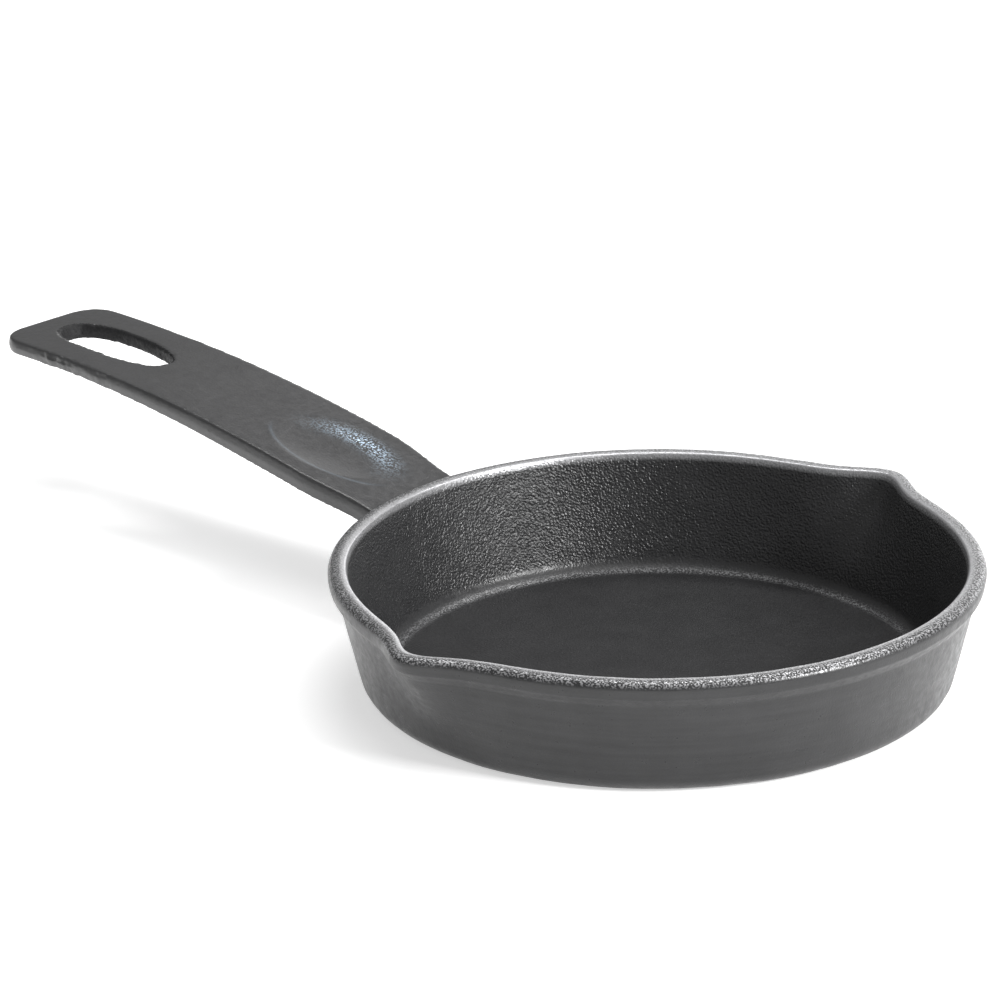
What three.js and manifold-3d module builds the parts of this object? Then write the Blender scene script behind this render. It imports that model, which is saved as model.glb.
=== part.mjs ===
// Small cast iron skillet with two pouring lips and a long arched handle.
//
// The real skillet is a single casting. It is modelled as two solids that meet
// face to face on one plane just outside the rim, across the root of the handle.
//
// Frame, in millimetres: the origin is the centre of the flat base, +Z is up,
// the handle runs along -X and the pouring lips point along -Y and +Y.

import * as THREE from "three";
import { mergeVertices } from "three/addons/utils/BufferGeometryUtils.js";
import Module from "manifold-3d";

const wasm = await Module();
wasm.setup();

// ---------------------------------------------------------------- dimensions

// Bowl
const PAN_HEIGHT = 32; // base to the top of the rim
const RIM_RADIUS = 82.5; // outermost point of the rim
const RIM_CROWN_RADIUS = 79.2; // the domed top of the rim is highest here
const RIM_SHOULDER_Z = 29.6; // the rim is widest at this height
const RIM_UNDERSIDE = { r: 81.6, z: 27.4 }; // where the bead turns in
const CREASE = { r: 79.9, z: 25.2 }; // where the bead meets the plain wall
const FOOT_RADIUS = 69.5; // flat the pan stands on
const FOOT_CORNER = { r: 74.6, z: 4 }; // top of the rounded bottom corner
const FLOOR_Z = 2.6; // cooking surface
const FLOOR_RADIUS = 65; // flat part of the cooking surface
const INNER_WALL_FOOT = { r: 70, z: 6.6 }; // top of the fillet around the floor
const INNER_WALL_TOP = { r: 77.8, z: 31 }; // under the small inner rim edge

// Corners that the section's curves are drawn towards
const FOOT_CONTROL = { r: 74, z: 0 };
const CREASE_CONTROL = { r: 80.3, z: 26.8 };
const SHOULDER_CONTROL = { r: 82.5, z: 31.7 };
const INNER_EDGE_CONTROL = { r: 78, z: 32 };
const FILLET_CONTROL = { r: 68.9, z: 2.6 };

// Pouring lips
const LIP_ANGLE = 90; // degrees from +X to the middle of a lip
const LIP_REACH = 7.8; // how far the rim is drawn out at the tip
const LIP_HALF_ANGLE = 7; // degrees, spread of the lip
const LIP_FOOT_Z = 5; // the bulge in the wall fades out at this height
const LIP_RISE_POWER = 1.3; // how late the bulge comes in on the way up

// Handle
const HANDLE_END_X = -231.5;
const HANDLE_CREST = { x: -214, z: 40.7 }; // highest point of the arched top face
const HANDLE_ARC_RADIUS = 580; // of the arched top face, seen from the side
const GRIP_HALF_WIDTH = 18;
const TIP_HALF_WIDTH = 17.5;
const NECK_HALF_WIDTH = 15.8;
const END_CORNER_RADIUS = 8.5;
const TIP_THICKNESS = 4;
const GRIP_THICKNESS = 5.2;
const ROOT_THICKNESS = 8;
const TIP_TAPER_X = -205; // the strap narrows and thins out towards here ...
const GRIP_TAPER_X = -125; // ... from here
const NECK_TAPER_X = -112; // the strap narrows from here ...
const NECK_X = -90; // ... to here, and thickens underneath from here to the wall
const ROOT_FILLET_RADIUS = 12; // in plan, between the handle's side and the wall
const ROOT_FILLET_X = -86; // where that fillet starts
const ROOT_FILLET_SHARE = 0.99; // it stops just short of a quarter turn
const ROOT_END_X = -62; // inside the bowl until it is cut off
const ROOT_CONE = { footRadius: 71.4, topRadius: 79.9 }; // the middle of the wall
const SIDE_RIDGE = 0.4; // the parting line stands proud along the strap's sides

// Hanging hole, an ellipse with slightly squared ends
const HOLE = { x: -202.4, halfLength: 19.8, halfWidth: 7.5, squareness: 2.5 };

// Thumb rest, a shallow oval dish
const THUMB_REST = { x: -116, halfLength: 22, halfWidth: 12.2, depth: 0.7 };
const DISH_BALL_HEIGHT = 12; // half height of the flattened ball that cuts it

// The two solids meet here
const ROOT_PLANE_X = -88;

// The block that holds the handle is longer than it by this much, and this wide and high
const OUTSIDE_BLOCK = { spare: 20, side: 120 };

// Mesh fineness
const BOWL_STEPS = 112;
const CURVE_STEPS = 3;
const WALL_STEPS = 4;
const HANDLE_LENGTH_STEPS = 52;
const HANDLE_WIDTH_STEPS = 6;
const HOLE_STEPS = 48;
const CONE_STEPS = 96;
const DISH_STEPS = { around: 48, down: 32 };
const LIP_CROWDING = 0.28; // how far the bowl's steps close up around the lips
const END_CROWDING = 1.6; // and the handle's steps towards its end
const WELD_GAP = 1e-4; // corners nearer than this are one corner

// Looks of the seasoned iron
const BOWL_IRON = { color: 0x3a3a3c, roughness: 0.55, metalness: 0.4 };
const HANDLE_IRON = { color: 0x343437, roughness: 0.5, metalness: 0.4 };

// ------------------------------------------------------------------- helpers

const radians = THREE.MathUtils.degToRad;
const smoothstep = THREE.MathUtils.smoothstep;
const lerp = THREE.MathUtils.lerp;

// A closed geometry as a solid: shared corners are merged, and the empty
// triangles at the poles of a lathe are dropped.
function toSolid(geometry) {
  const bare = new THREE.BufferGeometry();
  bare.setAttribute("position", geometry.getAttribute("position").clone());
  bare.setIndex(geometry.index ? geometry.index.clone() : null);
  const welded = mergeVertices(bare, WELD_GAP);
  const corners = welded.index.array;
  const triangles = [];
  for (let i = 0; i < corners.length; i += 3) {
    const [a, b, c] = corners.slice(i, i + 3);
    if (a !== b && b !== c && c !== a) {
      triangles.push(a, b, c);
    }
  }
  return new wasm.Manifold(new wasm.Mesh({
    numProp: 3,
    vertProperties: new Float32Array(welded.getAttribute("position").array),
    triVerts: new Uint32Array(triangles),
  }));
}

function toGeometry(solid) {
  const mesh = solid.getMesh();
  const geometry = new THREE.BufferGeometry();
  geometry.setAttribute("position", new THREE.BufferAttribute(mesh.vertProperties, mesh.numProp));
  geometry.setIndex(new THREE.BufferAttribute(mesh.triVerts, 1));
  geometry.computeVertexNormals();
  return geometry;
}

function moveVertices(geometry, move) {
  const position = geometry.getAttribute("position");
  const point = new THREE.Vector3();
  for (let i = 0; i < position.count; i++) {
    move(point.fromBufferAttribute(position, i));
    position.setXYZ(i, point.x, point.y, point.z);
  }
  return geometry;
}

// ---------------------------------------------------------------------- bowl

// How far the wall is drawn outwards at an angle (radians) and a height: two
// opposite lips, each strongest at the rim and gone near the foot.
function lipReach(angle, z) {
  const rise = smoothstep(z, LIP_FOOT_Z, PAN_HEIGHT) ** LIP_RISE_POWER;
  let reach = 0;
  for (const side of [-1, 1]) {
    const centre = side * radians(LIP_ANGLE);
    const turn = Math.atan2(Math.sin(angle - centre), Math.cos(angle - centre));
    reach += 1 / Math.cosh(turn / radians(LIP_HALF_ANGLE)) ** 2;
  }
  return LIP_REACH * rise * reach;
}

// Revolves a half section, drawn in (radius, height), around Z. The steps are
// closed up around the lips, where the outline turns fastest.
function revolve(section) {
  const lathe = new THREE.LatheGeometry(section.getPoints(CURVE_STEPS), BOWL_STEPS);
  lathe.rotateX(Math.PI / 2);
  return moveVertices(lathe, (point) => {
    const radius = Math.hypot(point.x, point.y);
    const evenAngle = Math.atan2(point.y, point.x);
    const angle = evenAngle + LIP_CROWDING * Math.sin(2 * evenAngle);
    const reach = lipReach(angle, point.z) * smoothstep(radius, FLOOR_RADIUS, INNER_WALL_FOOT.r);
    point.x = (radius + reach) * Math.cos(angle);
    point.y = (radius + reach) * Math.sin(angle);
  });
}

// The walls are straight in section, but the lips bend them, so they take steps.
function lineInSteps(section, from, to) {
  for (let step = 1; step <= WALL_STEPS; step++) {
    section.lineTo(lerp(from.r, to.r, step / WALL_STEPS), lerp(from.z, to.z, step / WALL_STEPS));
  }
}

function curve(section, control, end) {
  section.quadraticCurveTo(control.r, control.z, end.r, end.z);
}

function makeBowl() {
  const section = new THREE.Path();
  section.moveTo(0, 0);
  section.lineTo(FOOT_RADIUS, 0);
  curve(section, FOOT_CONTROL, FOOT_CORNER);
  lineInSteps(section, FOOT_CORNER, CREASE);
  curve(section, CREASE_CONTROL, RIM_UNDERSIDE);
  section.lineTo(RIM_RADIUS, RIM_SHOULDER_Z);
  curve(section, SHOULDER_CONTROL, { r: RIM_CROWN_RADIUS, z: PAN_HEIGHT });
  curve(section, INNER_EDGE_CONTROL, INNER_WALL_TOP);
  lineInSteps(section, INNER_WALL_TOP, INNER_WALL_FOOT);
  curve(section, FILLET_CONTROL, { r: FLOOR_RADIUS, z: FLOOR_Z });
  section.lineTo(0, FLOOR_Z);
  return toSolid(revolve(section));
}

// A cone that runs up the middle of the wall, where the handle's root is cut off.
function makeRootCutter() {
  const cone = new THREE.CylinderGeometry(ROOT_CONE.topRadius, ROOT_CONE.footRadius, PAN_HEIGHT, CONE_STEPS);
  cone.rotateX(Math.PI / 2);
  cone.translate(0, 0, PAN_HEIGHT / 2);
  return toSolid(cone);
}

// -------------------------------------------------------------------- handle

function handleTopZ(x) {
  const run = x - HANDLE_CREST.x;
  return HANDLE_CREST.z - HANDLE_ARC_RADIUS + Math.sqrt(HANDLE_ARC_RADIUS ** 2 - run ** 2);
}

function handleThickness(x) {
  const grip = lerp(TIP_THICKNESS, GRIP_THICKNESS, smoothstep(x, TIP_TAPER_X, GRIP_TAPER_X));
  return lerp(grip, ROOT_THICKNESS, smoothstep(x, NECK_X, ROOT_END_X));
}

function handleHalfWidth(x) {
  const grip = lerp(TIP_HALF_WIDTH, GRIP_HALF_WIDTH, smoothstep(x, TIP_TAPER_X, GRIP_TAPER_X));
  const strap = lerp(grip, NECK_HALF_WIDTH, smoothstep(x, NECK_TAPER_X, NECK_X));
  const endRun = Math.max(HANDLE_END_X + END_CORNER_RADIUS - x, 0);
  const rounding = END_CORNER_RADIUS - Math.sqrt(END_CORNER_RADIUS ** 2 - endRun ** 2);
  const rootRun = Math.min(Math.max(x - ROOT_FILLET_X, 0), ROOT_FILLET_SHARE * ROOT_FILLET_RADIUS);
  const flare = ROOT_FILLET_RADIUS - Math.sqrt(ROOT_FILLET_RADIUS ** 2 - rootRun ** 2);
  return strap - rounding + flare;
}

// The strap starts as a grid box of unit width and thickness. Its steps close
// up towards the rounded end, and each cross-section takes its own width,
// height and thickness, with a low ridge along the middle of each side.
function makeStrap() {
  const length = ROOT_END_X - HANDLE_END_X;
  const box = new THREE.BoxGeometry(1, 2, 1, HANDLE_LENGTH_STEPS, HANDLE_WIDTH_STEPS, 2);
  return toSolid(moveVertices(box, (point) => {
    const along = point.x + 0.5;
    const x = HANDLE_END_X + length * along ** END_CROWDING;
    point.y *= handleHalfWidth(x) + SIDE_RIDGE * (1 - 2 * Math.abs(point.z));
    point.z = handleTopZ(x) + (point.z - 0.5) * handleThickness(x);
    point.x = x;
  }));
}

function makeHangingHole() {
  const bend = (share) => Math.sign(share) * Math.abs(share) ** (2 / HOLE.squareness);
  const outline = [];
  for (let step = 0; step < HOLE_STEPS; step++) {
    const turn = (2 * Math.PI * step) / HOLE_STEPS;
    const x = HOLE.x + HOLE.halfLength * bend(Math.cos(turn));
    const y = HOLE.halfWidth * bend(Math.sin(turn));
    outline.push(new THREE.Vector2(x, y));
  }
  const depth = 2 * HANDLE_CREST.z;
  return toSolid(new THREE.ExtrudeGeometry(new THREE.Shape(outline), { depth, bevelEnabled: false }));
}

// The dish is the bottom cap of a flattened ball, tilted with the handle.
function makeThumbRestDish() {
  const capDepth = THUMB_REST.depth / DISH_BALL_HEIGHT;
  const spread = 1 / Math.sqrt(1 - (1 - capDepth) ** 2);
  const ball = new THREE.SphereGeometry(1, DISH_STEPS.around, DISH_STEPS.down);
  ball.rotateX(Math.PI / 2);
  ball.scale(THUMB_REST.halfLength * spread, THUMB_REST.halfWidth * spread, DISH_BALL_HEIGHT);
  const run = THUMB_REST.x - HANDLE_CREST.x;
  ball.rotateY(Math.asin(run / HANDLE_ARC_RADIUS));
  ball.translate(THUMB_REST.x, 0, handleTopZ(THUMB_REST.x) + DISH_BALL_HEIGHT - THUMB_REST.depth);
  return toSolid(ball);
}

// ------------------------------------------------------------------ assembly

// A block that holds all of the handle outside the root plane.
function makeOutside() {
  const length = ROOT_PLANE_X - HANDLE_END_X + OUTSIDE_BLOCK.spare;
  const block = new THREE.BoxGeometry(length, OUTSIDE_BLOCK.side, OUTSIDE_BLOCK.side);
  block.translate(ROOT_PLANE_X - length / 2, 0, 0);
  return toSolid(block);
}

const strap = makeStrap();
const outside = makeOutside();
const root = strap.subtract(outside).subtract(makeRootCutter());
const handle = strap.intersect(outside).subtract(makeHangingHole()).subtract(makeThumbRestDish());

const skillet = new THREE.Group();

function addPart(name, solid, iron) {
  const mesh = new THREE.Mesh(toGeometry(solid), new THREE.MeshStandardMaterial(iron));
  mesh.name = name;
  skillet.add(mesh);
}

addPart("pan_body", makeBowl().add(root), BOWL_IRON);
addPart("handle", handle, HANDLE_IRON);

export default skillet;
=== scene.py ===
"""Small cast iron skillet with two pouring lips and a long arched handle.

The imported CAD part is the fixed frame: metres, +Z up, the origin at the centre
of the flat base, the handle along -X and the lips along -Y and +Y. The casting
is modelled as a pan and a handle that runs into the pan's wall.
"""

import math
from contextlib import contextmanager

import bpy
import numpy as np
from mathutils import Matrix, Vector


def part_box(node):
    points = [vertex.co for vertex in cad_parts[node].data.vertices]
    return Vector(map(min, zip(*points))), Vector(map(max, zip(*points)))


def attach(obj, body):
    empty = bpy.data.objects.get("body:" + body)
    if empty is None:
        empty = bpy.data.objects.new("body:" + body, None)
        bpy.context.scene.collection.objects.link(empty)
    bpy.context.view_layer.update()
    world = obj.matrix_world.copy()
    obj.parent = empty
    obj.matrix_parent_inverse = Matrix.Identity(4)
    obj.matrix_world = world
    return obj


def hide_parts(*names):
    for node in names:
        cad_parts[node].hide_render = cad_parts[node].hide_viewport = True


bl_info = {
    "name": "Cast Iron Skillet",
    "version": (1, 0, 0),
    "blender": (4, 5, 0),
    "location": "View3D > Sidebar > Skillet",
    "description": "Models a seasoned cast iron skillet with its floor and light",
    "category": "Object",
}

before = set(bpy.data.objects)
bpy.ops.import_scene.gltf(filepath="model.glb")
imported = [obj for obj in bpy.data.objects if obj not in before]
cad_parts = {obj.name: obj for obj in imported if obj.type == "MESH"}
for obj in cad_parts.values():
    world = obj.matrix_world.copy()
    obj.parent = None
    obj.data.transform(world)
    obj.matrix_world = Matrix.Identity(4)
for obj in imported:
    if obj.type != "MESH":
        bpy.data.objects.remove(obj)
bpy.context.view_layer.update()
PAN_LOW, PAN_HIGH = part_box("pan_body")
HANDLE_LOW, HANDLE_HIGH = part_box("handle")

MM = 0.001

# ------------------------------------------------------------ pan, millimetres

# Corners of the wall's section, from the foot round the rim to the floor.
# Each is (distance in from the rim, height, from "base" or "top", rounding).
PAN_SECTION = (
    (8.9, 0.0, "base", 5.2),  # foot
    (2.6, -6.8, "top", 1.8),  # crease under the bead
    (0.6, -4.3, "top", 1.5),  # underside of the bead
    (0.0, -0.35, "top", 2.0),  # shoulder of the bead
    (3.1, 0.0, "top", 6.0),  # crown of the rim
    (4.75, -0.24, "top", 0.7),  # inner edge of the rim
    (13.8, 2.6, "base", 4.6),  # floor fillet
)
ROUNDING_STEPS = 8
WALL_STEP = 1.5  # spacing of the rings up the walls
FLAT_STEP = 3.2  # and across the floor and the base
FLOOR_INSET = 15.8  # the flat floor ends this far inside the rim
TURN_STEPS = 480

LIP_ANGLES = (-90.0, 90.0)  # degrees from +X
LIP_SPREAD = 7.0  # degrees
LIP_FOOT_Z = 5.0  # the lip's bulge starts here
LIP_RISE_POWER = 1.3
LIP_FADE = (65.0, 70.0)  # radii between which the floor starts to follow the lip

# --------------------------------------------------------- handle, millimetres

CREST_X = -214.0
ARC_RADIUS = 580.0
TIP_HALF_WIDTH = 17.5
NECK_HALF_WIDTH = 15.8
END_CORNER_RADIUS = 8.5
TIP_THICKNESS = 4.0
GRIP_THICKNESS = 5.2
ROOT_THICKNESS = 6.6
TIP_TAPER_X = -205.0
GRIP_TAPER_X = -125.0
NECK_TAPER_X = -112.0
NECK_X = -90.0
ROOT_X = -76.0
STRAP_CUTS = (159, 23, 5)  # across its length, width and thickness
STRAP_CROWDING = 1.4  # how far the cuts close up towards the end
WHOLE_EDGE = 1.9  # an edge this long on the 2 m cube still runs its full length
SIDE_RIDGE = 0.55  # the parting line stands this proud of the top and bottom edges

HOLE_X, HOLE_HALF_LENGTH, HOLE_HALF_WIDTH, HOLE_SQUARENESS = -202.6, 19.8, 7.5, 2.5
HOLE_CORNERS = 96
HOLE_TAPER = 0.08  # narrower towards the pan
HOLE_SLANT = 0.35  # the hole leans towards the pan on its way down
DISH_X, DISH_HALF_LENGTH, DISH_HALF_WIDTH, DISH_DEPTH = -116.0, 22.0, 12.2, 0.7
DISH_BALL_HEIGHT = 12.0
DISH_RINGS = 96

# The wall that the root runs into: its outer radius at a height
WALL_FOOT_RADIUS, WALL_SLOPE = 73.6, 0.25
ROOT_CUT = (74.7, 14.0, 0.29)  # radius at a height, and slope, in the wall's middle
ROOT_TOP_Z, ROOT_DEPTH, ROOT_SPREAD = 26.5, 12.5, 4.0
TOP_FILLET, SIDE_FILLET, BOTTOM_FILLET = 1.6, 7.0, 5.0

VOXEL, VOXEL_SMOOTHING, HOLE_SMOOTHING = 0.45, 6, 14

# Swells and dents left by the sand mould: spacing and full height
PAN_SWELL, PAN_RIPPLE = (14.0, 0.22), (5.0, 0.06)
HANDLE_SWELL, HOLE_LUMPS, FLANK_NICKS = (14.0, 0.10), (1.8, 0.55), (2.2, 0.6)


def smoothstep(value, low, high):
    share = np.clip((value - low) / (high - low), 0.0, 1.0)
    return share * share * (3.0 - 2.0 * share)


def blend(start, end, share):
    return start + (end - start) * share


# ------------------------------------------------------------- mesh helpers


@contextmanager
def edit_mode(piece, select="VERT"):
    """Edits one piece alone, with nothing in it selected."""
    bpy.ops.object.select_all(action="DESELECT")
    piece.select_set(True)
    bpy.context.view_layer.objects.active = piece
    bpy.ops.object.mode_set(mode="EDIT")
    bpy.ops.mesh.select_mode(type=select)
    bpy.ops.mesh.select_all(action="DESELECT")
    yield
    bpy.ops.object.mode_set(mode="OBJECT")


def new_piece(name, primitive, **settings):
    bpy.ops.object.select_all(action="DESELECT")
    primitive(**settings)
    piece = bpy.context.object
    piece.name = piece.data.name = name
    return piece


def points_of(piece):
    points = np.empty(len(piece.data.vertices) * 3)
    piece.data.vertices.foreach_get("co", points)
    return points.reshape(-1, 3)


def reshape(piece, rule):
    """Moves every vertex by a rule on (x, y, z) columns in millimetres."""
    x, y, z = rule(*(points_of(piece).T / MM))
    piece.data.vertices.foreach_set("co", (np.column_stack((x, y, z)) * MM).ravel())
    piece.data.update()


def modify(piece, kind, **settings):
    bpy.context.view_layer.objects.active = piece
    modifier = piece.modifiers.new(kind.title(), kind)
    for setting, value in settings.items():
        setattr(modifier, setting, value)
    bpy.ops.object.modifier_apply(modifier=modifier.name)


def cut(piece, cutter):
    modify(piece, "BOOLEAN", operation="DIFFERENCE", solver="EXACT", object=cutter)
    bpy.data.objects.remove(cutter)


@contextmanager
def weighted(piece, weights):
    """Names a vertex group that limits modifiers to a part of the piece."""
    group = piece.vertex_groups.new(name="limit")
    for index in np.flatnonzero(weights > 0.01):
        group.add([int(index)], float(weights[index]), "REPLACE")
    yield group.name
    piece.vertex_groups.clear()


def roughen(piece, size, height, group=""):
    """Swells and dents of a size and a full height in mm."""
    cloud = bpy.data.textures.new(f"cast_{size}mm", "CLOUDS")
    cloud.noise_scale = size * MM
    cloud.noise_depth = 1
    modify(
        piece, "DISPLACE", texture=cloud, strength=height * MM, mid_level=0.5,
        texture_coords="LOCAL", direction="NORMAL", vertex_group=group,
    )


def paint(piece, name, values):
    layer = piece.data.attributes.new(name, "FLOAT", "POINT")
    layer.data.foreach_set("value", np.asarray(values, dtype=np.float32))


def finish_piece(piece, finishes, rule, node):
    """Gives the faces that meet a rule the second finish and the others the first."""
    edges = np.empty(len(piece.data.loops), dtype=np.int32)
    piece.data.loops.foreach_get("edge_index", edges)
    if not len(edges) or (np.bincount(edges, minlength=len(piece.data.edges)) != 2).any():
        raise RuntimeError(f"{piece.name} is not a closed solid")
    bpy.ops.object.select_all(action="DESELECT")
    piece.select_set(True)
    bpy.context.view_layer.objects.active = piece
    bpy.ops.object.shade_smooth()
    piece.data.materials.clear()
    for finish in finishes:
        piece.data.materials.append(finish)
    centres = np.empty(len(piece.data.polygons) * 3)
    piece.data.polygons.foreach_get("center", centres)
    chosen = rule(*(centres.reshape(-1, 3).T / MM))
    piece.data.polygons.foreach_set("material_index", chosen.astype(np.int32))
    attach(piece, "root")
    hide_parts(node)


# ----------------------------------------------------------------- the pan


def rounded(corners):
    """The points of an open outline, with each inner corner rounded to its radius."""
    points = [Vector(corners[0][:2])]
    for before, here, after in zip(corners, corners[1:], corners[2:]):
        corner = Vector(here[:2])
        inward = (Vector(before[:2]) - corner).normalized()
        outward = (Vector(after[:2]) - corner).normalized()
        half_angle = inward.angle(outward) / 2
        reach = here[2] / math.tan(half_angle)
        centre = corner + (inward + outward).normalized() * (here[2] / math.sin(half_angle))
        start, end = corner + inward * reach - centre, corner + outward * reach - centre
        turn = start.angle_signed(end)
        for step in range(ROUNDING_STEPS + 1):
            angle = turn * step / ROUNDING_STEPS
            points.append(centre + Matrix.Rotation(-angle, 2) @ start)
    points.append(Vector(corners[-1][:2]))
    return points


def in_steps(points):
    """Puts points along the long stretches, closer on the walls than on the flats."""
    spaced = [points[0]]
    for start, end in zip(points, points[1:]):
        span = end - start
        step = FLAT_STEP if abs(span.y) < abs(span.x) / 10 else WALL_STEP
        count = max(1, round(span.length / step))
        spaced += [start + span * (i / count) for i in range(1, count + 1)]
    return spaced


def lip_reach(angle, z, height, reach):
    """How far the wall is drawn out at an angle in degrees and a height in mm."""
    rise = smoothstep(z, LIP_FOOT_Z, height) ** LIP_RISE_POWER
    spread = 0.0
    for lip in LIP_ANGLES:
        turn = (angle - lip + 180.0) % 360.0 - 180.0
        spread = spread + 1.0 / np.cosh(turn / LIP_SPREAD) ** 2
    return reach * rise * spread


class SKILLET_OT_pan(bpy.types.Operator):
    """Spins the pan's section, draws out the two lips and gives it its cast skin"""

    bl_idname = "skillet.pan"
    bl_label = "Pan"

    def execute(self, context):
        sizes = context.scene.skillet_sizes
        radius, height = sizes.rim_radius / MM, sizes.pan_height / MM
        corners = [(0.0, 0.0, 0.0)]
        for inset, level, datum, rounding in PAN_SECTION:
            z = level + (height if datum == "top" else 0.0)
            corners.append((radius - inset, z, rounding))
        corners.append((0.0, corners[-1][1], 0.0))
        outline = in_steps(rounded(corners))

        pan = new_piece("skillet_pan", bpy.ops.mesh.primitive_plane_add, size=MM)
        with edit_mode(pan):
            bpy.ops.mesh.select_all(action="SELECT")
            bpy.ops.mesh.merge(type="CENTER")
            for start, end in zip(outline, outline[1:]):
                step = end - start
                bpy.ops.mesh.extrude_vertices_move(
                    TRANSFORM_OT_translate={"value": (step.x * MM, 0.0, step.y * MM)}
                )
            bpy.ops.mesh.select_all(action="SELECT")
            bpy.ops.mesh.spin(
                steps=TURN_STEPS, angle=math.tau, center=(0, 0, 0), axis=(0, 0, 1)
            )
            bpy.ops.mesh.select_all(action="SELECT")
            bpy.ops.mesh.remove_doubles(threshold=0.005 * MM)
            bpy.ops.mesh.normals_make_consistent(inside=False)

        x, y, z = points_of(pan).T / MM
        r = np.hypot(x, y)
        floor_z = corners[-1][1]
        middle = radius - 10.6 + (z - floor_z) * 0.29
        inside = (z > floor_z - 0.5) & (r < middle)
        wall = inside * smoothstep(z, floor_z + 0.6, floor_z + 5.0)
        top = smoothstep(z, height - 1.6, height - 0.5)
        # The rim's inner edge: rubbed-through iron, with a painted highlight line along it
        edge = np.exp(-((np.hypot(r - radius + 4.4, z - height + 0.15) / 1.0) ** 2))
        # Painted highlight: a band of pale flecks along the floor fillet, laid in through the rim's
        # mask
        fillet_highlight = inside * np.exp(-(((r - radius + 15.4) / 0.9) ** 2)) * (z < floor_z + 3)
        paint(pan, "pebble", wall * (1.0 - top))
        paint(pan, "rim", top * (1 - 0.8 * edge) + 0.45 * fillet_highlight)
        paint(pan, "worn", edge)
        paint(pan, "turned", 1.0 - np.maximum(inside, top))

        reach = sizes.lip_reach / MM

        def draw_out_lips(x, y, z):
            angle = np.degrees(np.arctan2(y, x))
            r = np.hypot(x, y)
            longer = lip_reach(angle, z, height, reach) * smoothstep(r, *LIP_FADE)
            growth = 1.0 + longer / np.maximum(r, 1.0)
            return x * growth, y * growth, z

        reshape(pan, draw_out_lips)
        roughen(pan, *PAN_SWELL)
        roughen(pan, *PAN_RIPPLE)

        def on_floor(x, y, z):
            return (np.abs(z - floor_z + 0.25) < 0.37) & (np.hypot(x, y) < radius - FLOOR_INSET)

        finishes = cast_iron(context, "pan"), cast_iron(context, "floor")
        finish_piece(pan, finishes, on_floor, "pan_body")
        return {"FINISHED"}


# -------------------------------------------------------------- the handle


def top_z(x):
    crest_z = HANDLE_HIGH.z / MM
    return crest_z - ARC_RADIUS + np.sqrt(ARC_RADIUS**2 - (x - CREST_X) ** 2)


def thickness(x):
    grip = blend(TIP_THICKNESS, GRIP_THICKNESS, smoothstep(x, TIP_TAPER_X, GRIP_TAPER_X))
    return blend(grip, ROOT_THICKNESS, smoothstep(x, NECK_X, ROOT_X))


def half_width(x, end_x, grip_half_width):
    grip = blend(TIP_HALF_WIDTH, grip_half_width, smoothstep(x, TIP_TAPER_X, GRIP_TAPER_X))
    strap = blend(grip, NECK_HALF_WIDTH, smoothstep(x, NECK_TAPER_X, NECK_X))
    run = np.maximum(end_x + END_CORNER_RADIUS - x, 0.0)
    corner = END_CORNER_RADIUS - np.sqrt(np.maximum(END_CORNER_RADIUS**2 - run**2, 0.0))
    return strap - corner


def fillet(gap, size):
    """Height of a round fillet at a gap from the wall that it runs into."""
    inward = size - np.clip(gap, 0.0, size)
    return size - np.sqrt(size**2 - inward**2)


def hole_gap(x, y, z):
    """Distance outside the hanging hole's edge, roughly, negative inside it."""
    run = x - HOLE_X - HOLE_SLANT * (HANDLE_HIGH.z / MM - z)
    along = run / HOLE_HALF_LENGTH
    across = y / (HOLE_HALF_WIDTH * (1 - HOLE_TAPER * along))
    level = np.abs(along) ** HOLE_SQUARENESS + np.abs(across) ** HOLE_SQUARENESS
    level = np.maximum(level, 0.01) ** (1.0 / HOLE_SQUARENESS)
    return (1.0 - 1.0 / level) * np.hypot(run, y)


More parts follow.
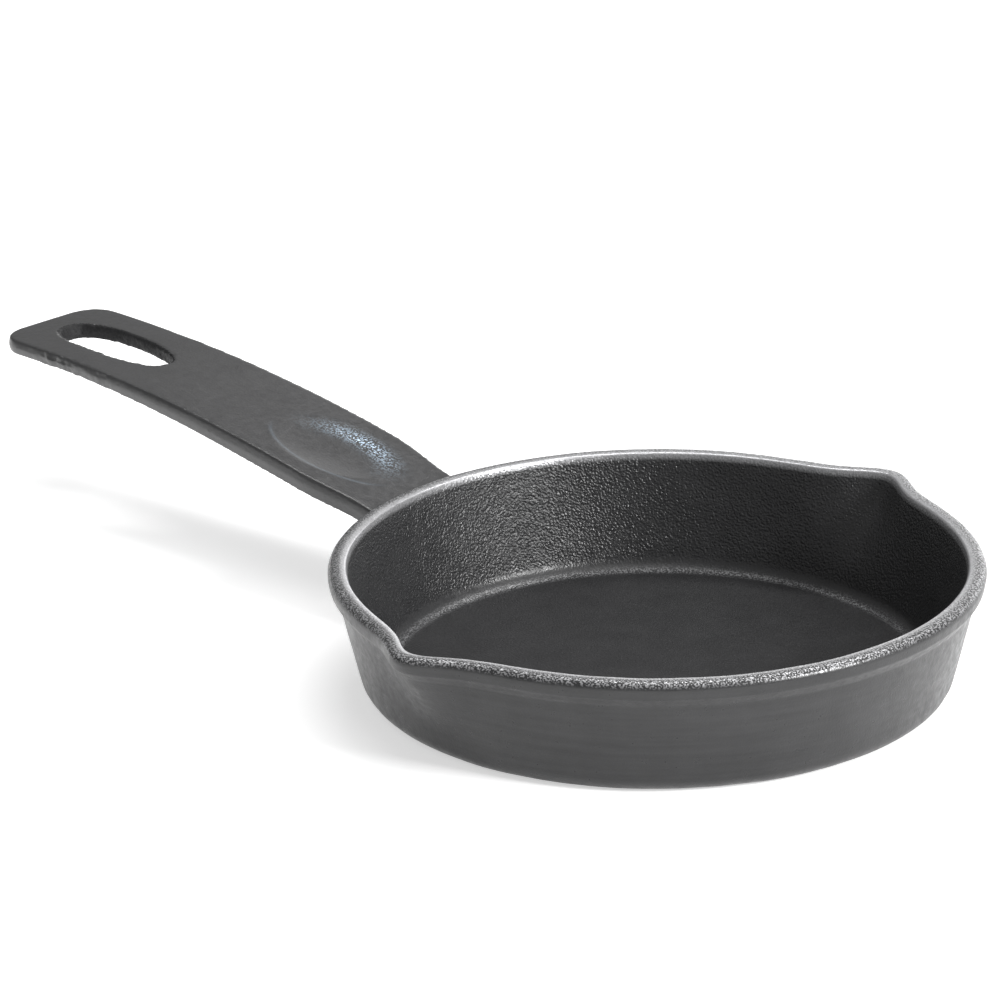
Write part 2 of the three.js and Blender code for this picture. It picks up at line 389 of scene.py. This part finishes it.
class SKILLET_OT_handle(bpy.types.Operator):
    """Arches a strap, pierces the hanging hole, sinks the thumb rest and fillets the root"""

    bl_idname = "skillet.handle"
    bl_label = "Handle"

    def execute(self, context):
        sizes = context.scene.skillet_sizes
        end_x, grip = -sizes.handle_reach / MM, sizes.grip_width / MM / 2
        handle = new_piece("skillet_handle", bpy.ops.mesh.primitive_cube_add, size=2)
        for axis, cuts in enumerate(STRAP_CUTS):
            with edit_mode(handle, "EDGE"):
                bpy.ops.object.mode_set(mode="OBJECT")
                for edge in handle.data.edges:
                    a, b = (handle.data.vertices[v].co for v in edge.vertices)
                    edge.select = abs(b[axis] - a[axis]) > WHOLE_EDGE
                bpy.ops.object.mode_set(mode="EDIT")
                bpy.ops.mesh.subdivide(number_cuts=cuts)

        def shape_strap(x, y, z):
            along, across, up = (x * MM + 1) / 2, y * MM, (z * MM + 1) / 2
            cut_radius, cut_z, cut_slope = ROOT_CUT
            root_z = ROOT_TOP_Z - (1 - up) * ROOT_DEPTH
            root = cut_radius + (root_z - cut_z) * cut_slope
            root_x = -np.sqrt(root**2 - (across * (NECK_HALF_WIDTH + ROOT_SPREAD)) ** 2)
            x = end_x + (root_x - end_x) * along**STRAP_CROWDING
            ridge = SIDE_RIDGE * (1 - np.abs(2 * up - 1))
            y = across * (half_width(x, end_x, grip) + ridge)
            z = top_z(x) - (1 - up) * thickness(x)
            gap = np.hypot(x, y) - (WALL_FOOT_RADIUS + WALL_SLOPE * z)
            y = y + across * fillet(gap, SIDE_FILLET)
            z = z + up * fillet(gap, TOP_FILLET) - (1 - up) * fillet(gap, BOTTOM_FILLET)
            return x, y, z

        reshape(handle, shape_strap)
        cut(handle, self.hole_cutter())
        cut(handle, self.dish_cutter())
        modify(handle, "REMESH", mode="VOXEL", voxel_size=VOXEL * MM)
        modify(handle, "SMOOTH", factor=0.5, iterations=VOXEL_SMOOTHING)
        x, y, z = points_of(handle).T / MM
        gap = hole_gap(x, y, z)
        with weighted(handle, 1.0 - smoothstep(np.abs(gap), 0.8, 1.8)) as edges:
            modify(handle, "SMOOTH", factor=0.5, iterations=HOLE_SMOOTHING, vertex_group=edges)
        in_hole = 1.0 - smoothstep(gap, 0.3, 1.4)
        side_y = half_width(x, end_x, grip)
        flank = smoothstep(np.abs(y), side_y - 0.9, side_y - 0.2) * (y < 0)
        nicked = flank * smoothstep(x, -222, -208) * (1 - smoothstep(x, -192, -180))
        roughen(handle, *HANDLE_SWELL)
        with weighted(handle, in_hole) as walls:
            roughen(handle, *HOLE_LUMPS, walls)
        with weighted(handle, nicked) as nicks:
            roughen(handle, *FLANK_NICKS, nicks)

        dish = np.hypot((x - DISH_X) / DISH_HALF_LENGTH, y / DISH_HALF_WIDTH)
        on_top = smoothstep(z - top_z(x), -2.0, -1.4)
        paint(handle, "pebble", in_hole * 0.8)
        turn = np.degrees(np.arctan2(y / DISH_HALF_WIDTH, (x - DISH_X) / DISH_HALF_LENGTH))
        # Painted highlight: a crescent of pale bluish metal on the thumb rest's far side, where the
        # light glints
        crescent = np.exp(-(((dish - 0.72) / 0.2) ** 2) - ((turn - 82) / 50) ** 2)
        paint(handle, "glint", crescent * on_top)
        # Painted highlight: a faint pale line along the thumb rest's near edge, on one side only
        near_edge_highlight = np.exp(-(((dish - 1.0) / 0.025) ** 2)) * smoothstep(-y, 2.0, 9.0)
        paint(handle, "worn", near_edge_highlight * on_top * 0.12)

        def hole_wall(x, y, z):
            return hole_gap(x, y, z) < 0.9

        finishes = cast_iron(context, "handle"), cast_iron(context, "hole")
        finish_piece(handle, finishes, hole_wall, "handle")
        return {"FINISHED"}

    def hole_cutter(self):
        cutter = new_piece(
            "hole_cutter", bpy.ops.mesh.primitive_circle_add, vertices=HOLE_CORNERS, radius=1,
            fill_type="NGON",
        )

        def superellipse(x, y, z):
            x, y = x * MM, y * MM
            bend = 2.0 / HOLE_SQUARENESS
            along, across = np.sign(x) * np.abs(x) ** bend, np.sign(y) * np.abs(y) ** bend
            x = HOLE_X + HOLE_HALF_LENGTH * along + HOLE_SLANT * HANDLE_HIGH.z / MM
            return x, HOLE_HALF_WIDTH * across * (1 - HOLE_TAPER * along), z

        reshape(cutter, superellipse)
        with edit_mode(cutter):
            bpy.ops.mesh.select_all(action="SELECT")
            lean = (-HOLE_SLANT * 0.1, 0, 0.1)
            bpy.ops.mesh.extrude_region_move(TRANSFORM_OT_translate={"value": lean})
            bpy.ops.mesh.select_all(action="SELECT")
            bpy.ops.mesh.normals_make_consistent(inside=False)
        return cutter

    def dish_cutter(self):
        share = DISH_DEPTH / DISH_BALL_HEIGHT
        spread = 1 / math.sqrt(1 - (1 - share) ** 2)
        tilt = math.asin((DISH_X - CREST_X) / ARC_RADIUS)
        cutter = new_piece(
            "dish_cutter", bpy.ops.mesh.primitive_uv_sphere_add, segments=DISH_RINGS,
            ring_count=DISH_RINGS, radius=1,
        )
        centre_z = float(top_z(DISH_X)) + DISH_BALL_HEIGHT - DISH_DEPTH
        with edit_mode(cutter):
            bpy.ops.mesh.select_all(action="SELECT")
            bpy.ops.transform.resize(value=(
                DISH_HALF_LENGTH * spread * MM, DISH_HALF_WIDTH * spread * MM, DISH_BALL_HEIGHT * MM
            ))
            bpy.ops.transform.rotate(value=-tilt, orient_axis="Y", center_override=(0, 0, 0))
            bpy.ops.transform.translate(value=(DISH_X * MM, 0, centre_z * MM))
        return cutter


# ------------------------------------------------------------------ materials


def linear(colour):
    """An sRGB hex colour as linear RGBA."""
    channels = [int(colour[i : i + 2], 16) / 255 for i in (1, 3, 5)]
    return (*(c / 12.92 if c <= 0.04045 else ((c + 0.055) / 1.055) ** 2.4 for c in channels), 1.0)


def add(material, kind, inputs=None, output=0, **settings):
    """Adds a node with its settings and links, and hands back one of its outputs."""
    node = material.node_tree.nodes.new(kind)
    for setting, value in settings.items():
        setattr(node, setting, value)
    for name, value in (inputs or {}).items():
        if isinstance(value, bpy.types.NodeSocket):
            material.node_tree.links.new(value, node.inputs[name])
        else:
            node.inputs[name].default_value = value
    return node.outputs[output] if node.outputs else None


def new_material(name):
    material = bpy.data.materials.new(name)
    material.use_nodes = True
    material.node_tree.nodes.clear()
    return material


# Grain of the skin: size and height (mm), share of the pebbles, roughness from
# and to, and specular level. The floor and the hole are as cast, with dry pores;
# the pan and the handle shine more under their baked oil.
FINISHES = {
    "pan": (0.50, 0.034, 1.0, 0.27, 0.42, 0.50),
    "floor": (0.50, 0.100, 0.0, 0.44, 0.58, 0.24),
    "handle": (0.60, 0.020, 0.0, 0.28, 0.40, 0.90),
    "hole": (0.70, 0.080, 0.6, 0.50, 0.65, 0.20),
}
PEBBLE_SIZE, PEBBLE_HEIGHT = 0.66, 0.30
PEBBLE_DOME, PEBBLE_SAND = -0.5, 0.8  # shares of round grains and of loose sand
RIM_GRAIN = 1.6  # the rim's extra skin, in skin heights
GLINT_HEIGHT = 0.16
# Flecks on the rim, and the painted highlight along the floor fillet
RIM_FLECKS = 0.75
# The same share of metal goes into the painted highlights
METAL_SHARE = 0.9  # of bare iron, under a trace of oil

# Noises that break up the iron: size (mm) and detail. The real sand grain is 0.2
# to 0.4 mm, and is drawn coarser here so that it still reads.
NOISES = {
    "sand": (0.55, 1.0),
    "glint_relief": (0.60, 0.0),
    "glint": (0.55, 0.0),
    "fleck": (0.45, 0.0),
    "wear": (0.70, 1.0),
    "sheen": (2.0, 3.0),
    "patch": (9.0, 3.0),
}


def cast_iron(context, part):
    """Seasoned cast iron: poured in a sand mould, then blackened with baked oil.

    The eye sees a dark neutral grey that is never quite even, with a satin sheen.
    Sand grain glitters on the inner walls, faint turned lines run around the
    outside, and rubbed-through iron shows pale on the rim, its inner edge also a
    painted highlight line. Painted highlights of pale flecks run along the floor
    fillet, and of pale bluish metal in a crescent and along the near edge of the
    thumb rest.
    """
    colours = context.scene.skillet_colours
    skin_size, skin_height, pebble_share, smooth, rough, specular = FINISHES[part]
    material = new_material(f"seasoned_cast_iron_{part}")
    place = add(material, "ShaderNodeTexCoord", output="Object")
    painted = {
        name: add(material, "ShaderNodeAttribute", output="Fac", attribute_name=name)
        for name in ("pebble", "rim", "worn", "turned", "glint")
    }
    noise = {
        name: add(material, "ShaderNodeTexNoise", {
            "Vector": place, "Scale": 1 / (size * MM), "Detail": detail,
        })
        for name, (size, detail) in {**NOISES, "skin": (skin_size, 0.0)}.items()
    }
    pebbles = add(material, "ShaderNodeTexVoronoi", {
        "Vector": place, "Scale": 1 / (PEBBLE_SIZE * MM), "Smoothness": 0.5,
    }, output="Distance", feature="SMOOTH_F1")
    pebble_height = PEBBLE_HEIGHT * pebble_share

    # Relief: each layer is a texture, where it lies and its height in mm
    relief = 0.0
    for texture, where, height in (
        (pebbles, painted["pebble"], PEBBLE_DOME * pebble_height),
        (noise["sand"], painted["pebble"], PEBBLE_SAND * pebble_height),
        (noise["skin"], 1.0, skin_height),
        (noise["skin"], painted["rim"], RIM_GRAIN * skin_height),
        (noise["glint_relief"], painted["glint"], GLINT_HEIGHT),
    ):
        size = add(material, "ShaderNodeMath", {0: where, 1: height * MM}, operation="MULTIPLY")
        relief = add(material, "ShaderNodeMath", {
            0: texture, 1: size, 2: relief,
        }, operation="MULTIPLY_ADD")
    bump = add(material, "ShaderNodeBump", {"Height": relief, "Strength": 1.0, "Distance": 1.0})

    # Oil, from dark to light in patches, with turned lines around the outside
    around = add(material, "ShaderNodeMapping", {"Vector": place, "Scale": (0.05, 0.05, 1.0)})
    lines = add(material, "ShaderNodeTexNoise", {"Vector": around, "Scale": 1 / (1.4 * MM)})
    swing = add(material, "ShaderNodeMapRange", {
        "Value": lines, "From Min": 0.3, "From Max": 0.7, "To Min": -0.25, "To Max": 0.25,
    })
    share = add(material, "ShaderNodeMath", {
        0: swing, 1: painted["turned"], 2: noise["patch"],
    }, operation="MULTIPLY_ADD")
    oil = add(material, "ShaderNodeMix", {
        "Factor": share, "A": colours.iron_dark[:], "B": colours.iron_light[:],
    }, output=2, data_type="RGBA")

    # Bare iron and painted highlights: each layer is a noise, its limits, its least and most, and
    # where
    bare = 0.0
    for texture, low, high, least, most, where in (
        # Rubbed rim edge with a painted highlight line on it; on the handle, the thumb rest's
        # painted near-edge highlight
        (noise["wear"], 0.35, 0.6, 0.8, 1.0, painted["worn"]),
        # Pale flecks on the rim top, and the painted highlight along the floor fillet
        (noise["fleck"], 0.45, 0.65, 0.0, RIM_FLECKS, painted["rim"]),
        # Painted highlight: the crescent of glints in the thumb rest
        (noise["glint"], 0.50, 0.58, 0.0, 1.0, painted["glint"]),
    ):
        flecks = add(material, "ShaderNodeMapRange", {
            "Value": texture, "From Min": low, "From Max": high, "To Min": least, "To Max": most,
        })
        bare = add(material, "ShaderNodeMath", {
            0: flecks, 1: where, 2: bare,
        }, operation="MULTIPLY_ADD")
    # On the handle the bare layers are painted highlights in pale bluish metal
    metal = colours.thumb_rest_highlight if part == "handle" else colours.worn_iron_and_highlight
    colour = add(material, "ShaderNodeMix", {
        "Factor": bare, "A": oil, "B": metal[:],
    }, output=2, data_type="RGBA")
    metallic = add(material, "ShaderNodeMath", {0: bare, 1: METAL_SHARE}, operation="MULTIPLY")
    roughness = add(material, "ShaderNodeMapRange", {
        "Value": noise["sheen"], "From Min": 0.3, "From Max": 0.7, "To Min": smooth, "To Max": rough,
    })
    shader = add(material, "ShaderNodeBsdfPrincipled", {
        "Base Color": colour, "Metallic": metallic, "Roughness": roughness,
        "Specular IOR Level": specular, "Normal": bump,
    })
    add(material, "ShaderNodeOutputMaterial", {"Surface": shader})
    return material


def floor_paint(context):
    """Matt white paint on a smooth board: bright, with no gloss of its own."""
    material = new_material("matt_white_paint")
    shader = add(material, "ShaderNodeBsdfPrincipled", {
        "Base Color": context.scene.skillet_colours.floor[:], "Roughness": 0.9,
        "Specular IOR Level": 0.1, "Emission Color": (1, 1, 1, 1), "Emission Strength": FLOOR_GLOW,
    })
    add(material, "ShaderNodeOutputMaterial", {"Surface": shader})
    return material


# ---------------------------------------------------------------------- stage

CAMERA_PLACE = (1051.50, -1088.86, 617.10)
CAMERA_AIM = (-119.09, 62.46, 0.0)
CAMERA_ROLL = -0.659  # degrees
CAMERA_LENS = 234.0

# name, azimuth, elevation, distance (m), width and height (m), power (W)
LIGHTS = (
    ("overhead_softbox", 150.0, 72.0, 1.5, (1.7, 1.7), 11.0),
    ("back_strip", 206.0, 60.0, 1.6, (1.2, 0.20), 7.5),
    ("right_softbox", 104.0, 28.0, 1.7, (0.45, 0.36), 28.0),
    ("backdrop", 200.0, 11.0, 3.0, (2.8, 1.2), 19.0),
)
WORLD_STRENGTH = 0.34
FLOOR_GLOW = 0.52


def direction(azimuth, elevation):
    """Unit vector to where a camera at these angles would stand."""
    a, e = math.radians(azimuth), math.radians(elevation)
    return Vector((math.sin(a) * math.cos(e), -math.cos(a) * math.cos(e), math.sin(e)))


class SKILLET_OT_stage(bpy.types.Operator):
    """Lays the floor, hangs the soft lights and sets up the camera"""

    bl_idname = "skillet.stage"
    bl_label = "Stage"

    def execute(self, context):
        floor = new_piece("floor", bpy.ops.mesh.primitive_plane_add, size=12)
        floor.data.materials.append(floor_paint(context))

        for name, azimuth, elevation, distance, size, power in LIGHTS:
            light = bpy.data.lights.new(name, "AREA")
            light.shape = "RECTANGLE"
            light.size, light.size_y = size
            light.energy = power
            lamp = bpy.data.objects.new(name, light)
            context.scene.collection.objects.link(lamp)
            towards = direction(azimuth, elevation)
            lamp.location = towards * distance
            lamp.rotation_euler = towards.to_track_quat("Z", "Y").to_euler()
            lamp.visible_camera = False

        world = bpy.data.worlds.new("studio_walls")
        world.use_nodes = True
        walls = world.node_tree.nodes["Background"]
        walls.inputs["Color"].default_value = (1, 1, 1, 1)
        walls.inputs["Strength"].default_value = WORLD_STRENGTH
        context.scene.world = world

        camera = bpy.data.objects.new("camera", bpy.data.cameras.new("camera"))
        context.scene.collection.objects.link(camera)
        camera.data.lens, camera.data.sensor_width = CAMERA_LENS, 36.0
        camera.data.clip_end = 50.0
        place, aim = Vector(CAMERA_PLACE) * MM, Vector(CAMERA_AIM) * MM
        level = (place - aim).to_track_quat("Z", "Y").to_matrix()
        turn = level @ Matrix.Rotation(math.radians(CAMERA_ROLL), 3, "Z")
        camera.matrix_world = Matrix.LocRotScale(place, turn.to_quaternion(), None)
        context.scene.camera = camera
        context.scene.view_settings.view_transform = "Standard"
        return {"FINISHED"}


# --------------------------------------------------------------------- add-on


class SkilletSizes(bpy.types.PropertyGroup):
    """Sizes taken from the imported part"""

    rim_radius: bpy.props.FloatProperty(
        name="Rim radius", description="From the axis to the outside of the rim",
        default=PAN_HIGH.x, subtype="DISTANCE", unit="LENGTH",
    )
    pan_height: bpy.props.FloatProperty(
        name="Pan height", description="From the base to the top of the rim",
        default=PAN_HIGH.z, subtype="DISTANCE", unit="LENGTH",
    )
    lip_reach: bpy.props.FloatProperty(
        name="Lip reach", description="How far each pouring lip is drawn out past the rim",
        default=PAN_HIGH.y - PAN_HIGH.x, subtype="DISTANCE", unit="LENGTH",
    )
    handle_reach: bpy.props.FloatProperty(
        name="Handle reach", description="From the pan's axis to the end of the handle",
        default=-HANDLE_LOW.x, subtype="DISTANCE", unit="LENGTH",
    )
    grip_width: bpy.props.FloatProperty(
        name="Grip width", description="Width of the handle at its widest",
        default=0.036, subtype="DISTANCE", unit="LENGTH",
    )


class SkilletColours(bpy.types.PropertyGroup):
    """Colours of the iron and the floor"""

    iron_dark: bpy.props.FloatVectorProperty(
        name="Iron, dark", description="Darkest of the baked oil",
        default=linear("#1F1F20"), subtype="COLOR", size=4, min=0, max=1,
    )
    iron_light: bpy.props.FloatVectorProperty(
        name="Iron, light", description="Lightest of the baked oil",
        default=linear("#303031"), subtype="COLOR", size=4, min=0, max=1,
    )
    # Pale bare iron, also the colour of the painted highlights on the rim's inner edge and the floor
    # fillet
    worn_iron_and_highlight: bpy.props.FloatVectorProperty(
        name="Worn iron", description="Where the oil is rubbed thin on the edges",
        default=linear("#C2C2C4"), subtype="COLOR", size=4, min=0, max=1,
    )
    # Painted highlight: pale bluish metal for the thumb rest's crescent and near edge
    thumb_rest_highlight: bpy.props.FloatVectorProperty(
        name="Blued iron", description="Bare grains of the thumb rest, blued by heat",
        default=linear("#C4D8EA"), subtype="COLOR", size=4, min=0, max=1,
    )
    floor: bpy.props.FloatVectorProperty(
        name="Floor", description="Matt paint under the pan",
        default=linear("#F4F4F4"), subtype="COLOR", size=4, min=0, max=1,
    )


class SKILLET_PT_panel(bpy.types.Panel):
    """Lists the skillet's pieces, sizes and colours"""

    bl_label = "Skillet"
    bl_idname = "SKILLET_PT_panel"
    bl_space_type = "VIEW_3D"
    bl_region_type = "UI"
    bl_category = "Skillet"

    def draw(self, context):
        for piece in PIECES:
            self.layout.operator(piece.bl_idname)
        for group in (context.scene.skillet_sizes, context.scene.skillet_colours):
            for name in group.__annotations__:
                self.layout.prop(group, name)


PIECES = (SKILLET_OT_pan, SKILLET_OT_handle, SKILLET_OT_stage)
CLASSES = (SkilletSizes, SkilletColours, *PIECES, SKILLET_PT_panel)


def register():
    for cls in CLASSES:
        bpy.utils.register_class(cls)
    bpy.types.Scene.skillet_sizes = bpy.props.PointerProperty(type=SkilletSizes)
    bpy.types.Scene.skillet_colours = bpy.props.PointerProperty(type=SkilletColours)


def unregister():
    del bpy.types.Scene.skillet_colours
    del bpy.types.Scene.skillet_sizes
    for cls in reversed(CLASSES):
        bpy.utils.unregister_class(cls)


def main():
    register()
    bpy.ops.skillet.pan()
    bpy.ops.skillet.handle()
    bpy.ops.skillet.stage()


if __name__ == "__main__":
    main()
